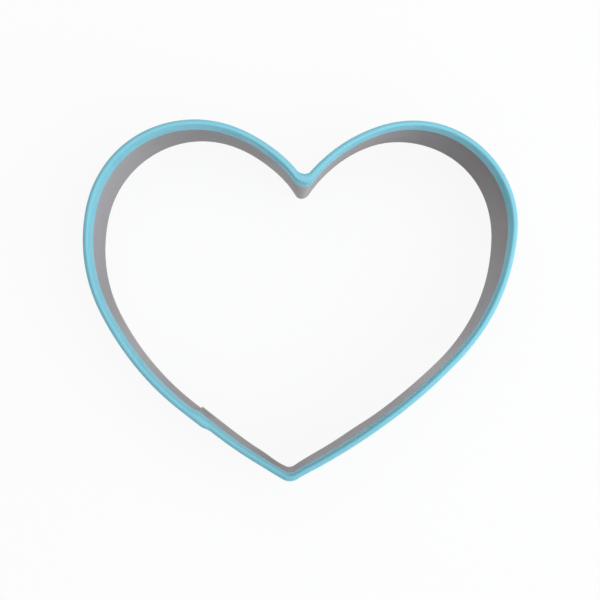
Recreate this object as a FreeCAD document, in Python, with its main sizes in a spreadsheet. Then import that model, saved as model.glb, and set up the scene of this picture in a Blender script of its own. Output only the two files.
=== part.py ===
import FreeCAD, Part
import math
import os

import Sketcher
from FreeCAD import Vector

# Heart-shaped cookie cutter: a steel strip bent to a heart, with its ends lapped and spot welded
# on the lower left side, and a soft plastic trim over its top edge.
# Millimetres and degrees. The cutter stands on its cutting edge at z = 0, the trim is on top,
# +Y points to the lobes, and the origin is in the middle of the footprint.

# Driving dimensions: alias, value, meaning. Bend radii are those of the strip's middle line.
SIZES = (
    ("strip_thickness", 0.45, "thickness of the steel strip"),
    ("strip_height", 24.4, "height of the steel strip"),
    ("lap_length", 4.0, "overlap of the strip's two ends"),
    ("lap_margin", 2.5, "flat run of each ply past the end of the other"),
    ("lap_gap", 0.05, "space between the lapped plies"),
    ("notch_radius", 1.75, "bend at the notch between the lobes"),
    ("tip_radius", 2.4, "bend at the tip"),
    ("tail_radius", 95.0, "slight bow from the lap to the tip"),
    ("tail_angle", 6.5, "turn of that bow"),
    ("left_notch_angle", 56.5, "turn from the middle of the notch to the left flank"),
    ("left_flank_radius", 31.0, "bend from the notch up to the left lobe"),
    ("left_flank_angle", 37.5, "turn of that bend"),
    ("left_lobe_radius", 24.5, "bend over the left lobe"),
    ("left_lobe_angle", 97.0, "turn of that bend"),
    ("left_side_radius", 36.5, "bend of the left side"),
    ("left_side_angle", 39.5, "turn of that bend"),
    ("left_lower_radius", 68.0, "bend of the lower left side, down to the lap"),
    ("left_lower_angle", 24.5, "turn of that bend"),
    ("right_notch_angle", 55.5, "turn from the middle of the notch to the right flank"),
    ("right_flank_radius", 32.0, "bend from the notch up to the right lobe"),
    ("right_flank_angle", 36.5, "turn of that bend"),
    ("right_lobe_radius", 23.5, "bend over the right lobe"),
    ("right_lobe_angle", 113.0, "turn of that bend"),
    ("right_side_radius", 47.0, "bend of the right side"),
    ("right_side_angle", 42.0, "turn of that bend"),
    ("right_lower_radius", 145.0, "bend of the lower right side"),
    ("right_lower_angle", 14.0, "turn of that bend"),
    ("trim_leg", 0.525, "from the steel's face to the trim's face"),
    ("trim_crown", 0.6, "trim above the strip's top edge"),
    ("trim_depth", 5.7, "height of the trim"),
    ("trim_edge_radius", 0.7, "rounding of the trim's top edges"),
    ("trim_fill_radius", 2.0, "inside corners of the trim, at the notch and the tip"),
    ("trim_step_radius", 2.0, "bends where the trim widens over the lap"),
    ("slot_gap", 0.03, "space between the trim's slot and the steel"),
    ("slot_step_radius", 0.5, "bends where the slot widens over the lap"),
    ("weld_diameter", 2.5, "spot weld"),
    ("weld_dent", 0.04, "depth of the electrode's mark on each face"),
    ("weld_gap", 0.02, "space round the weld in its hole"),
    ("weld_low_height", 6.0, "lower weld above the cutting edge"),
    ("weld_pitch", 8.0, "from weld to weld"),
    ("cut_overrun", 0.5, "cuts run past the faces by this much"),
)

WELD_COUNT = 2
NUMBERS = {name: value for name, value, meaning in SIZES}
UP = Vector(0, 0, 1)


class Dim:
    """A size of the sheet, or a sum of such sizes, as a number and as an expression."""

    def __init__(self, value, text):
        self.value = value
        self.text = text

    def __add__(self, other):
        return Dim(self.value + other.value, f"({self.text} + {other.text})")

    def __sub__(self, other):
        return Dim(self.value - other.value, f"({self.text} - {other.text})")

    def __neg__(self):
        return Dim(-self.value, f"-({self.text})")

    def half(self):
        return Dim(self.value / 2, f"({self.text} / 2)")

    def double(self):
        return Dim(self.value * 2, f"(2 * {self.text})")

    def across(self, angle):
        """The part of this length that lies across a line turned by an angle."""
        share = math.sin(math.radians(angle.value))
        return Dim(self.value * share, f"({self.text} * sin({angle.text} * 1 deg))")

    def along(self, angle):
        """The part of this length that lies along a line turned by an angle."""
        share = math.cos(math.radians(angle.value))
        return Dim(self.value * share, f"({self.text} * cos({angle.text} * 1 deg))")


def dim(name):
    return Dim(NUMBERS[name], f"Sizes.{name}")


# The lap: the inner ply's step inward, the flat run that holds the lap, and the flat of each ply.
LAP_STEP = dim("strip_thickness") + dim("lap_gap")
LAP_FLAT = dim("lap_length") + dim("lap_margin").double()
PLY_FLAT = dim("lap_length") + dim("lap_margin")
LAP_STACK = dim("strip_thickness").double() + dim("lap_gap")

# Offsets outward from the strip's middle line.
MIDDLE_LINE = Dim(0, "0")
STRIP_FACE = dim("strip_thickness").half()
TRIM_FACE = STRIP_FACE + dim("trim_leg")
SLOT_FACE = STRIP_FACE + dim("slot_gap")
TRIM_BOTTOM = dim("strip_height") + dim("trim_crown") - dim("trim_depth")


def polar(length, angle):
    return Vector(length * math.cos(math.radians(angle)), length * math.sin(math.radians(angle)), 0)


def direction(vector):
    return math.degrees(math.atan2(vector.y, vector.x))


class Line:
    """A straight run of an outline, with the length that drives it, if any."""

    def __init__(self, start, end, length=None):
        self.geometry = Part.LineSegment(start, end)
        self.first, self.last = 1, 2
        self.length = length


class Bend:
    """An arc of an outline that runs counter-clockwise, or clockwise for a bend to the right."""

    def __init__(self, centre, radius, start, end, driven=None, angle=None, to_right=False):
        circle = Part.Circle(centre, UP, radius)
        self.geometry = Part.ArcOfCircle(circle, math.radians(start), math.radians(end))
        self.first, self.last = (2, 1) if to_right else (1, 2)
        self.radius = driven
        self.angle = angle


class Pen:
    """A point with a heading that travels along bends and leaves them behind."""

    def __init__(self, point, heading):
        self.point = point
        self.heading = heading

    def left(self, radius, angle, driven=None, turn=None):
        centre = self.point + polar(radius, self.heading + 90)
        start = self.heading - 90
        self.heading += angle
        self.point = centre + polar(radius, self.heading - 90)
        return Bend(centre, radius, start, self.heading - 90, driven, turn)

    def right(self, radius, angle, driven=None, turn=None, to_right=True):
        centre = self.point + polar(radius, self.heading - 90)
        end = self.heading + 90
        self.heading -= angle
        self.point = centre + polar(radius, self.heading + 90)
        return Bend(centre, radius, self.heading + 90, end, driven, turn, to_right)


def bend_centres(side):
    """Centres of a side's flank and lobe bends, measured outward and downward from the notch's centre."""
    notch_turn = dim(f"{side}_notch_angle")
    joint_turn = notch_turn - dim(f"{side}_flank_angle")
    reach = dim("notch_radius") + dim(f"{side}_flank_radius")
    inset = dim(f"{side}_flank_radius") - dim(f"{side}_lobe_radius")
    flank = (reach.across(notch_turn), reach.along(notch_turn))
    lobe = (flank[0] - inset.across(joint_turn), flank[1] - inset.along(joint_turn))
    return flank, lobe


def place(centre, side):
    sign = -1 if side == "left" else 1
    return Vector(sign * centre[0].value, -centre[1].value, 0)


def notch_centre(offset, radius):
    """Centre of the arc of a radius that touches both flanks, at an offset outward from the strip."""
    left, right = place(bend_centres("left")[0], "left"), place(bend_centres("right")[0], "right")
    reach_left = NUMBERS["left_flank_radius"] + offset + radius
    reach_right = NUMBERS["right_flank_radius"] + offset + radius
    span = (right - left).Length
    along = (span ** 2 + reach_left ** 2 - reach_right ** 2) / (2 * span)
    axis = (right - left) / span
    return left + axis * along + UP.cross(axis) * math.sqrt(reach_left ** 2 - along ** 2)


def side_bends(pen, side, offset):
    """Lobe, side and lower bends of a side, travelled from its flank towards the tip."""
    bends = {}
    for part in ("lobe", "side", "lower"):
        radius = dim(f"{side}_{part}_radius") + offset
        angle = dim(f"{side}_{part}_angle")
        if side == "left":
            bend = pen.left(radius.value, angle.value, radius, angle)
        else:
            bend = pen.right(radius.value, angle.value, radius, angle, to_right=False)
        bends[f"{side}_{part}"] = bend
    return bends


def half_heart(side, offset, notch):
    """Flank to lower bend of a side, and the pen at their end."""
    centre = place(bend_centres(side)[0], side)
    radius = NUMBERS[f"{side}_flank_radius"] + offset.value
    from_notch = direction(notch - centre)
    turn = NUMBERS[f"{side}_notch_angle"] - NUMBERS[f"{side}_flank_angle"]
    if side == "left":
        pen = Pen(centre + polar(radius, from_notch), from_notch + 90)
        flank = pen.left(radius, 90 - turn - from_notch)
    else:
        pen = Pen(centre + polar(radius, from_notch), from_notch - 90)
        flank = pen.right(radius, from_notch - 90 - turn, to_right=False)
    bends = {f"{side}_flank": flank}
    bends.update(side_bends(pen, side, offset))
    return bends, pen


def close_tip(loop, tail_end, right_end, radius):
    """Straight runs to the tip from both sides and the bend that joins them."""
    ahead, back = polar(1, tail_end.heading), polar(1, right_end.heading)
    apart = right_end.point - tail_end.point
    corner = tail_end.point + ahead * (apart.cross(back).z / ahead.cross(back).z)
    turn = 180 - math.degrees(ahead.getAngle(back))
    run = radius.value * math.tan(math.radians(turn / 2))
    pen = Pen(corner - ahead * run, tail_end.heading)
    loop["tip_left"] = Line(tail_end.point, pen.point)
    loop["tip"] = pen.left(radius.value, turn, radius)
    loop["tip_right"] = Line(pen.point, right_end.point)


def step_bends(pen, radius, turn):
    """The two bends by which an outline steps inward from the outer ply to the inner one."""
    return {
        "step_in": pen.left(radius.value, turn, radius),
        "step_out": pen.right(radius.value, turn, radius),
    }


def heart(offset, notch_radius, tip_radius, step_radius=None, covers=None):
    """Segments of the heart at an offset outward from the strip's middle line, counter-clockwise.

    Without a step radius they are one face of the open strip, from the inner ply's end to the outer one's.
    With one they are a closed loop that covers the "outer" or the "inner" ply's end and steps past it.
    """
    notch = notch_centre(offset.value, notch_radius.value)
    left, left_end = half_heart("left", offset, notch)
    right, right_end = half_heart("right", offset, notch)
    lap_top = left_end.point
    down, inward = polar(1, left_end.heading), polar(1, left_end.heading + 90)
    lap_foot = lap_top + down * LAP_FLAT.value + inward * LAP_STEP.value
    upper = under = PLY_FLAT
    if step_radius:
        turn = math.degrees(math.acos(1 - LAP_STEP.value / step_radius.double().value))
        step_run = step_radius.double().value * math.sin(math.radians(turn))
        covered = PLY_FLAT + dim("slot_gap")
        rest = Dim(LAP_FLAT.value - covered.value - step_run, None)
        upper, under = (covered, rest) if covers == "outer" else (rest, covered)
    step_top = lap_top + down * upper.value
    tail_end = Pen(lap_foot, left_end.heading)
    tail_radius = dim("tail_radius") + offset
    loop = {"under_ply": Line(lap_foot - down * under.value, lap_foot, under)}
    loop["tail"] = tail_end.left(tail_radius.value, NUMBERS["tail_angle"], tail_radius, dim("tail_angle"))
    close_tip(loop, tail_end, right_end, tip_radius)
    loop.update((name, right[name]) for name in reversed(right))
    from_left = direction(left["left_flank"].geometry.Center - notch)
    to_right = direction(right["right_flank"].geometry.Center - notch)
    loop["notch"] = Bend(notch, notch_radius.value, from_left, to_right, notch_radius, to_right=True)
    loop.update(left)
    loop["upper_ply"] = Line(lap_top, step_top, upper)
    if step_radius:
        loop.update(step_bends(Pen(step_top, left_end.heading), step_radius, turn))
    return loop


class Plan:
    """A sketch under construction: its geometry, constraints and the expressions that drive them."""

    def __init__(self, sketch):
        self.sketch = sketch
        self.constraints = []
        self.drivers = []

    def tie(self, *arguments):
        self.constraints.append(Sketcher.Constraint(*arguments))

    def drive(self, driver, *arguments, unit=""):
        self.drivers.append((len(self.constraints), driver.text + unit))
        self.tie(*arguments)

    def line(self, start, end):
        return self.sketch.addGeometry(Part.LineSegment(start, end), False)

    def finish(self):
        self.sketch.addConstraint(self.constraints)
        for number, text in self.drivers:
            self.sketch.setExpression(f"Constraints[{number}]", text)


def draw_heart(plan, loop, closed):
    """Adds a heart's segments to a sketch, joins them smoothly and drives them from the sheet."""
    index = {name: plan.sketch.addGeometry(segment.geometry, False) for name, segment in loop.items()}
    names = list(loop)
    for before, after in zip(names, names[1:] + names[:1] if closed else names[1:]):
        plan.tie("Tangent", index[before], loop[before].last, index[after], loop[after].first)
    for name, segment in loop.items():
        number = index[name]
        if isinstance(segment, Line):
            if segment.length and segment.length.text:
                plan.drive(segment.length, "Distance", number, segment.length.value)
            continue
        if segment.radius:
            plan.drive(segment.radius, "Radius", number, segment.radius.value)
        if segment.angle:
            plan.drive(segment.angle, "Angle", number, math.radians(segment.angle.value), unit=" * 1 deg")
    for side in ("left", "right"):
        for part, centre in zip(("flank", "lobe"), bend_centres(side)):
            number = index[f"{side}_{part}"]
            span = (number, 3, -1, 1) if side == "left" else (-1, 1, number, 3)
            plan.drive(centre[0], "DistanceX", *span, centre[0].value)
            plan.drive(centre[1], "DistanceY", number, 3, -1, 1, centre[1].value)
    close_lap(plan, loop, index)
    return index


def close_lap(plan, loop, index):
    """Sets the inner ply parallel to the outer one, a step inward and a lap further down."""
    top = loop["upper_ply"].geometry.StartPoint
    foot = loop["under_ply"].geometry.EndPoint
    down = (loop["upper_ply"].geometry.EndPoint - top).normalize()
    run_end = top + down * LAP_FLAT.value
    run = plan.line(top, run_end)
    across = plan.line(run_end, foot)
    plan.sketch.setConstruction(run, True)
    plan.sketch.setConstruction(across, True)
    plan.tie("Coincident", run, 1, index["upper_ply"], 1)
    plan.tie("Parallel", run, index["upper_ply"])
    plan.drive(LAP_FLAT, "Distance", run, LAP_FLAT.value)
    plan.tie("Coincident", across, 1, run, 2)
    plan.tie("Perpendicular", across, run)
    plan.drive(LAP_STEP, "Distance", across, LAP_STEP.value)
    plan.tie("Coincident", across, 2, index["under_ply"], 2)
    plan.tie("Parallel", index["under_ply"], index["upper_ply"])


def new_plan(body, name, height=None):
    """A sketch on a body's ground plane, or at a height above it."""
    sketch = body.newObject("Sketcher::SketchObject", name)
    ground = next(plane for plane in body.Origin.OriginFeatures if plane.Role == "XY_Plane")
    sketch.AttachmentSupport = [(ground, "")]
    sketch.MapMode = "FlatFace"
    if height:
        sketch.setExpression("AttachmentOffset.Base.z", height.text)
    return Plan(sketch)


def check(document):
    """Stops at any object that failed and any sketch that isn't fully constrained."""
    document.recompute()
    for item in document.Objects:
        if "Invalid" in item.State or "Error" in item.State:
            raise RuntimeError(f"{item.Label} failed: {item.State}")
        if item.TypeId == "Sketcher::SketchObject" and not item.FullyConstrained:
            raise RuntimeError(f"{item.Label} isn't fully constrained")


def make_sheet(document):
    sheet = document.addObject("Spreadsheet::Sheet", "Sizes")
    for row, (name, value, meaning) in enumerate(SIZES, start=1):
        sheet.set(f"A{row}", meaning)
        sheet.set(f"B{row}", str(value))
        sheet.setAlias(f"B{row}", name)
    document.recompute()


def make_strip(document):
    """The bent strip: both faces of its plan, closed by its two ends, raised to its height."""
    body = document.addObject("PartDesign::Body", "strip")
    plan = new_plan(body, "strip_plan")
    faces = []
    for offset in (STRIP_FACE, -STRIP_FACE):
        loop = heart(offset, dim("notch_radius") - offset, dim("tip_radius") + offset)
        faces.append((loop, draw_heart(plan, loop, closed=False)))
    (outer, outer_index), (inner, inner_index) = faces
    for name, end, point in (("under_ply", 1, "StartPoint"), ("upper_ply", 2, "EndPoint")):
        cap = plan.line(getattr(outer[name].geometry, point), getattr(inner[name].geometry, point))
        plan.tie("Coincident", cap, 1, outer_index[name], end)
        plan.tie("Coincident", cap, 2, inner_index[name], end)
    plan.finish()
    pad = body.newObject("PartDesign::Pad", "strip_wall")
    pad.Profile = plan.sketch
    pad.setExpression("Length", dim("strip_height").text)
    check(document)
    return body


def weld_places():
    """Centres of the welds between the plies, and the direction through them."""
    end = half_heart("left", MIDDLE_LINE, notch_centre(0, NUMBERS["notch_radius"]))[1]
    through = polar(1, end.heading + 90)
    middle = end.point + polar(LAP_FLAT.value / 2, end.heading) + through * (LAP_STEP.value / 2)
    heights = [NUMBERS["weld_low_height"] + number * NUMBERS["weld_pitch"] for number in range(WELD_COUNT)]
    return [middle + UP * height for height in heights], through


def make_discs(document, name, radius, length):
    """A disc through both plies at each weld."""
    centres, through = weld_places()
    turn = FreeCAD.Rotation(UP, through)
    discs = []
    for number, centre in enumerate(centres, start=1):
        disc = document.addObject("Part::Cylinder", f"{name}_{number}")
        disc.setExpression("Radius", radius.text)
        disc.setExpression("Height", length.text)
        disc.Placement = FreeCAD.Placement(centre - through * (length.value / 2), turn)
        discs.append(disc)
    group = document.addObject("Part::Compound", name)
    group.Links = discs
    return group


def make_band(document):
    """The strip with a hole through both plies for each weld."""
    strip = make_strip(document)
    hole = dim("weld_diameter").half() + dim("weld_gap")
    holes = make_discs(document, "weld_holes", hole, LAP_STACK + dim("cut_overrun").double())
    band = document.addObject("Part::Cut", "cutter_band")
    band.Base = strip
    band.Tool = holes
    return band


def make_welds(document):
    """The welds, a little shorter than the two plies are thick."""
    length = LAP_STACK - dim("weld_dent").double()
    return make_discs(document, "spot_welds", dim("weld_diameter").half(), length)


def trim_ring(body, name, face, notch_radius, tip_radius, step_radius):
    """A plan of the ring between an outer and an inner face, each stepped at the lap.

    The notch and tip radii are those of the outer face and then of the inner face.
    """
    plan = new_plan(body, name, TRIM_BOTTOM)
    for number, (offset, covers) in enumerate(((face, "outer"), (-face, "inner"))):
        loop = heart(offset, notch_radius[number], tip_radius[number], step_radius, covers)
        draw_heart(plan, loop, closed=True)
    plan.finish()
    return plan.sketch


def make_trim(document):
    """The trim: a ring that widens over the lap, rounded on top, with a slot for the steel."""
    notch, tip, fill = dim("notch_radius"), dim("tip_radius"), dim("trim_fill_radius")
    body = document.addObject("PartDesign::Body", "rim_trim")
    wall_plan = trim_ring(
        body,
        "trim_plan",
        TRIM_FACE,
        (fill, notch + TRIM_FACE),
        (tip + TRIM_FACE, fill),
        dim("trim_step_radius"),
    )
    wall = body.newObject("PartDesign::Pad", "trim_wall")
    wall.Profile = wall_plan
    wall.setExpression("Length", dim("trim_depth").text)
    check(document)
    top = max(range(len(wall.Shape.Faces)), key=lambda number: wall.Shape.Faces[number].CenterOfMass.z)
    rounding = body.newObject("PartDesign::Fillet", "trim_rounding")
    rounding.Base = (wall, [f"Face{top + 1}"])
    rounding.setExpression("Radius", dim("trim_edge_radius").text)
    check(document)
    slot_plan = trim_ring(
        body,
        "slot_plan",
        SLOT_FACE,
        (notch - SLOT_FACE, notch + SLOT_FACE),
        (tip + SLOT_FACE, tip - SLOT_FACE),
        dim("slot_step_radius"),
    )
    slot = body.newObject("PartDesign::Pocket", "trim_slot")
    slot.Profile = slot_plan
    slot.Reversed = True
    slot.setExpression("Length", (dim("strip_height") - TRIM_BOTTOM).text)
    check(document)
    if slot.Shape.Volume >= rounding.Shape.Volume:
        raise RuntimeError("the slot cuts nothing")
    return body


def main():
    document = FreeCAD.newDocument("cookie_cutter")
    make_sheet(document)
    parts = [make_band(document), make_trim(document), make_welds(document)]
    check(document)
    middle = parts[1].Shape.optimalBoundingBox().Center
    for part in parts:
        part.Placement = FreeCAD.Placement(Vector(-middle.x, -middle.y, 0), FreeCAD.Rotation())
    check(document)
    os.makedirs("parts", exist_ok=True)
    for part in parts:
        if part.Shape.isNull() or not part.Shape.isValid():
            raise RuntimeError(f"{part.Label} has no valid shape")
        part.Shape.exportStep(f"parts/{part.Label}.step")
        box = part.Shape.optimalBoundingBox()
        print(part.Label, len(part.Shape.Solids), "solids", round(part.Shape.Volume, 3), "mm3", box)


main()
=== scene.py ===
import math

import bmesh
import bpy
import numpy as np
from bpy.props import FloatProperty, FloatVectorProperty, IntProperty, PointerProperty
from bpy.types import NodeSocket, Operator, Panel, PropertyGroup
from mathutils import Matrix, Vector


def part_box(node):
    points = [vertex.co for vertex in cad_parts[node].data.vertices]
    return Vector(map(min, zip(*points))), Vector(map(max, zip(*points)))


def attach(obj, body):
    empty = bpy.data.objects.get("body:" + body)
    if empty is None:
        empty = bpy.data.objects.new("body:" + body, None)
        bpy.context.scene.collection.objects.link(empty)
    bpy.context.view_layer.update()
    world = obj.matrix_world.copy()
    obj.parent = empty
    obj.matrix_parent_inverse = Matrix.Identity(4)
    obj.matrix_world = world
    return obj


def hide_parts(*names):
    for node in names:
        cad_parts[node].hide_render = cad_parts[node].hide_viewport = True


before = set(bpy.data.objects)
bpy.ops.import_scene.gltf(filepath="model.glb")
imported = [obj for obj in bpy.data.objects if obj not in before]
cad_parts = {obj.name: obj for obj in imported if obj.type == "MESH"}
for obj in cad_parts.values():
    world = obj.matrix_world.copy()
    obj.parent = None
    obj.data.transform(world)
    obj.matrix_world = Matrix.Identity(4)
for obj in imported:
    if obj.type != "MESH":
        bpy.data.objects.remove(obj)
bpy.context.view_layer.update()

bl_info = {
    "name": "Heart Cookie Cutter",
    "version": (1, 0, 0),
    "blender": (4, 5, 0),
    "location": "View3D > Sidebar > Cutter",
    "description": "Bends a steel heart cutter, slips a soft blue trim on it and sets it on a pale stage",
    "category": "Add Mesh",
}

MM = 0.001
DECIMALS = 5


def levels(part):
    """Lowest and highest level of a CAD part, in millimetres."""
    low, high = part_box(part)
    return low[2] / MM, high[2] / MM


STRIP_FOOT, STRIP_TOP = levels("cutter_band")
TRIM_LIP, TRIM_TOP = levels("rim_trim")


# Properties

def length(name, millimetres, description):
    return FloatProperty(
        name=name, description=description, default=millimetres * MM, precision=DECIMALS,
        unit="LENGTH", subtype="DISTANCE")


def angle(name, degrees, description):
    return FloatProperty(
        name=name, description=description, default=math.radians(degrees), unit="ROTATION", subtype="ANGLE")


def share(name, value, description):
    return FloatProperty(
        name=name, description=description, default=value, min=0.0, max=1.0, subtype="FACTOR")


def amount(name, value, description):
    return FloatProperty(
        name=name, description=description, default=value, soft_min=-1.0, soft_max=1.0, subtype="FACTOR")


def power(name, watts, description):
    return FloatProperty(name=name, description=description, default=watts, unit="POWER", subtype="POWER")


def colour(name, rgb, description):
    return FloatVectorProperty(
        name=name, description=description, default=rgb, size=3, min=0.0, max=1.0, subtype="COLOR")


def place(name, metres, description):
    return FloatVectorProperty(
        name=name, description=description, default=metres, size=3, precision=DECIMALS,
        unit="LENGTH", subtype="TRANSLATION")


def shifts(name, millimetres, description):
    return FloatVectorProperty(
        name=name, description=description, default=[value * MM for value in millimetres], size=2,
        precision=DECIMALS, unit="LENGTH", subtype="XYZ_LENGTH")


class StripSizes(PropertyGroup):
    """The steel strip and the lap of its ends"""
    thickness: length("Thickness", 0.45, "Thickness of the steel strip")
    height: length("Height", STRIP_TOP - STRIP_FOOT, "Height of the steel strip")
    lap_length: length("Lap", 4.0, "Overlap of the strip's two ends")
    lap_margin: length("Lap Margin", 2.5, "Flat run of each ply past the end of the other")
    lap_gap: length("Lap Gap", 0.05, "Space between the lapped plies")
    edge_radius: length("Edge Rounding", 0.1, "Rounding of the strip's edges")
    buckle: length("Buckle", 0.03, "How far the strip's faces wave in and out")
    buckle_pitch: length("Buckle Pitch", 17.0, "From wave to wave along the strip")
    spacing: length("Spacing", 0.7, "From section to section along the strip")
    row_spacing: length("Row Spacing", 1.2, "From row to row up the strip")
    fine_spacing: length("Fine Spacing", 0.2, "Spacing of sections and rows at the lap and the welds")


class CornerSizes(PropertyGroup):
    """Bends that both halves of the heart share"""
    notch_radius: length("Notch Radius", 1.75, "Bend at the notch between the lobes")
    tip_radius: length("Tip Radius", 2.4, "Bend at the tip")
    tail_radius: length("Tail Radius", 95.0, "Slight bow from the lap to the tip")
    tail_angle: angle("Tail Turn", 6.5, "Turn of that bow")


class LeftBends(PropertyGroup):
    """Bends of the heart's left half, from the notch down to the lap"""
    notch_angle: angle("Notch Turn", 56.5, "Turn from the middle of the notch to the flank")
    flank_radius: length("Flank Radius", 31.0, "Bend from the notch up to the lobe")
    flank_angle: angle("Flank Turn", 37.5, "Turn of that bend")
    lobe_radius: length("Lobe Radius", 24.5, "Bend over the lobe")
    lobe_angle: angle("Lobe Turn", 97.0, "Turn of that bend")
    side_radius: length("Side Radius", 36.5, "Bend of the side")
    side_angle: angle("Side Turn", 39.5, "Turn of that bend")
    lower_radius: length("Lower Radius", 68.0, "Bend of the lower side, down to the lap")
    lower_angle: angle("Lower Turn", 24.5, "Turn of that bend")


class RightBends(PropertyGroup):
    """Bends of the heart's right half, from the notch down to the tip"""
    notch_angle: angle("Notch Turn", 55.5, "Turn from the middle of the notch to the flank")
    flank_radius: length("Flank Radius", 32.0, "Bend from the notch up to the lobe")
    flank_angle: angle("Flank Turn", 36.5, "Turn of that bend")
    lobe_radius: length("Lobe Radius", 23.5, "Bend over the lobe")
    lobe_angle: angle("Lobe Turn", 113.0, "Turn of that bend")
    side_radius: length("Side Radius", 47.0, "Bend of the side")
    side_angle: angle("Side Turn", 42.0, "Turn of that bend")
    lower_radius: length("Lower Radius", 145.0, "Bend of the lower side")
    lower_angle: angle("Lower Turn", 14.0, "Turn of that bend")


class LeanSizes(PropertyGroup):
    """How far the bent strip stands out from its plan, at the foot and at the rim"""
    all_round: shifts("All Round", (0.0, 0.06), "Shifts outward all round")
    right_lobe: shifts("Right Lobe", (-0.47, 0.24), "Shifts outward on the right lobe")
    right_flank: shifts("Right Flank", (0.5, -0.42), "Shifts outward right of the notch")
    notch: shifts("Notch", (0.05, 0.9), "Shifts outward at the notch")
    notch_fold: shifts("Notch Fold", (-0.22, 0.0), "Shifts outward on the fold of the notch")
    left_fold: shifts("Left Fold", (-0.2, 0.0), "Shifts outward just left of the notch")
    left_flank: shifts("Left Flank", (0.22, -0.2), "Shifts outward left of the notch")
    left_lobe: shifts("Left Lobe", (-0.2, 0.0), "Shifts outward on the left lobe")
    lower_left: shifts("Lower Left", (0.0, 0.12), "Shifts outward on the lower left side")
    tail: shifts("Tail", (0.24, 0.0), "Shifts outward between the lap and the tip")
    tip: shifts("Tip", (0.55, 0.0), "Shifts outward left of the tip")
    tip_corner: shifts("Tip Corner", (0.0, -0.22), "Shifts outward at the tip")
    tip_right: shifts("Tip Right", (-0.2, 0.0), "Shifts outward right of the tip")
    lower_right: shifts("Lower Right", (0.0, -0.25), "Shifts outward on the lower right side")


class TrimSizes(PropertyGroup):
    """The soft trim over the strip's top edge"""
    leg: length("Leg", 0.525, "From the steel's face to the trim's face")
    crown: length("Crown", TRIM_TOP - STRIP_TOP, "Trim above the strip's top edge")
    depth: length("Depth", TRIM_TOP - TRIM_LIP, "Height of the trim")
    swell: length("Outer Swell", 0.06, "How far the trim's outer face stands out past its leg")
    inner_width: length("Inner Rounding Width", 0.55, "Width of the rounding of the trim's inner top edge")
    inner_height: length("Inner Rounding Height", 1.1, "Height of that rounding")
    outer_width: length("Outer Rounding Width", 1.0, "Width of the rounding of the trim's outer top edge")
    outer_height: length("Outer Rounding Height", 1.4, "Height of that rounding")
    fill_radius: length("Corner Fill", 2.0, "Inside corners of the trim, at the notch and the tip")
    step_radius: length("Step Radius", 2.0, "Bends where the trim's slot widens over the lap")
    soft_radius: length("Soft Step Radius", 4.0, "Bends where the trim's faces widen over the lap")
    soft_shift: length("Soft Step Shift", 0.7, "How far the faces close in over a ply's end")
    slot_gap: length("Slot Gap", 0.03, "Space between the trim's slot and the steel")
    lip_radius: length("Lip Rounding", 0.18, "Rounding of the trim's lower lips")
    lip_wave: length("Lip Wave", 0.07, "How far the lips wave up and down")
    lip_pitch: length("Lip Pitch", 31.0, "From wave to wave along the lips")
    lip_tilt: length("Lip Tilt", 0.7, "How much lower the lips are on the left, higher on the right")


class LipSizes(PropertyGroup):
    """How far the trim's lips stand above their even level"""
    right_lobe: length("Right Lobe", 0.5, "Rise of the lips on the right lobe")
    right_top: length("Right Top", 0.6, "Rise of the lips between the right lobe and the notch")
    left_top: length("Left Top", -0.3, "Rise of the lips left of the notch")
    left_lobe: length("Left Lobe", 0.6, "Rise of the lips on the left lobe")
    left_side: length("Left Side", -1.2, "Rise of the lips on the left side")
    tail: length("Tail", 1.0, "Rise of the lips between the lap and the tip")


class WeldSizes(PropertyGroup):
    """The spot welds through the lap"""
    count: IntProperty(name="Welds", description="Number of spot welds", default=2, min=1)
    diameter: length("Diameter", 2.5, "Diameter of a weld")
    dent: length("Dent", 0.05, "Depth of the electrode's mark on each face")
    bowl: length("Bowl", 0.04, "How far a weld's face falls towards its middle")
    proud: length("Proud", 0.012, "How far a weld's edge stands out of the mark")
    ridge: length("Ridge", 0.02, "Steel raised round the mark")
    low_height: length("Lowest Weld", 6.0, "Lowest weld above the cutting edge")
    pitch: length("Pitch", 8.0, "From weld to weld")


class SteelFinish(PropertyGroup):
    """Rolled steel of the strip and its welds"""
    colour: colour("Steel", (0.348, 0.335, 0.346), "Clean rolled steel")
    dull_colour: colour("Dull Steel", (0.296, 0.283, 0.292), "Steel dulled by handling")
    bright_colour: colour("Bright Steel", (0.46, 0.455, 0.45), "Steel rubbed bright at the cutting edge")
    straw_colour: colour("Straw Tint", (0.30, 0.235, 0.15), "Outer heat tint round a weld")
    blue_colour: colour("Blue Tint", (0.20, 0.215, 0.26), "Inner heat tint round a weld")
    smudges: share("Smudges", 0.35, "How far smudges dull the steel")
    pits: share("Pits", 0.5, "How far pits darken the steel")
    straw: share("Straw Strength", 0.5, "How far the outer heat tint covers the steel")
    blue: share("Blue Strength", 0.7, "How far the inner heat tint covers the steel")
    weld_pits: share("Weld Pits", 0.4, "How far pits tint the welds")
    rubbed_height: length("Rubbed Edge", 1.1, "How far up the cutting edge is rubbed bright")
    edge_tint: share("Edge Tint", 0.55, "Brightness of the steel seen at a low angle")
    roughness: share("Roughness", 0.58, "Roughness of the rolled face")
    brushing: share("Brushing", 0.85, "How far the rolled lines stretch reflections across them")
    # Painted light and shade: these shares make the steel's colour brighter or darker in places round the
    # heart
    notch: amount("Notch Painted Light", 0.33, "Share of painted light on the steel at the notch")
    right_lobe: amount("Right Lobe Painted Light", -0.2, "Share by which it is brighter on the right lobe")
    left_side: amount("Left Side Painted Light", 0.2, "Share by which it is brighter on the left side")
    lower_right: amount("Lower Right Painted Light", 0.2, "Share by which it is brighter on the lower right side")
    tip: amount("Tip Painted Light", -0.15, "Share by which it is brighter left of the tip")


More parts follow.
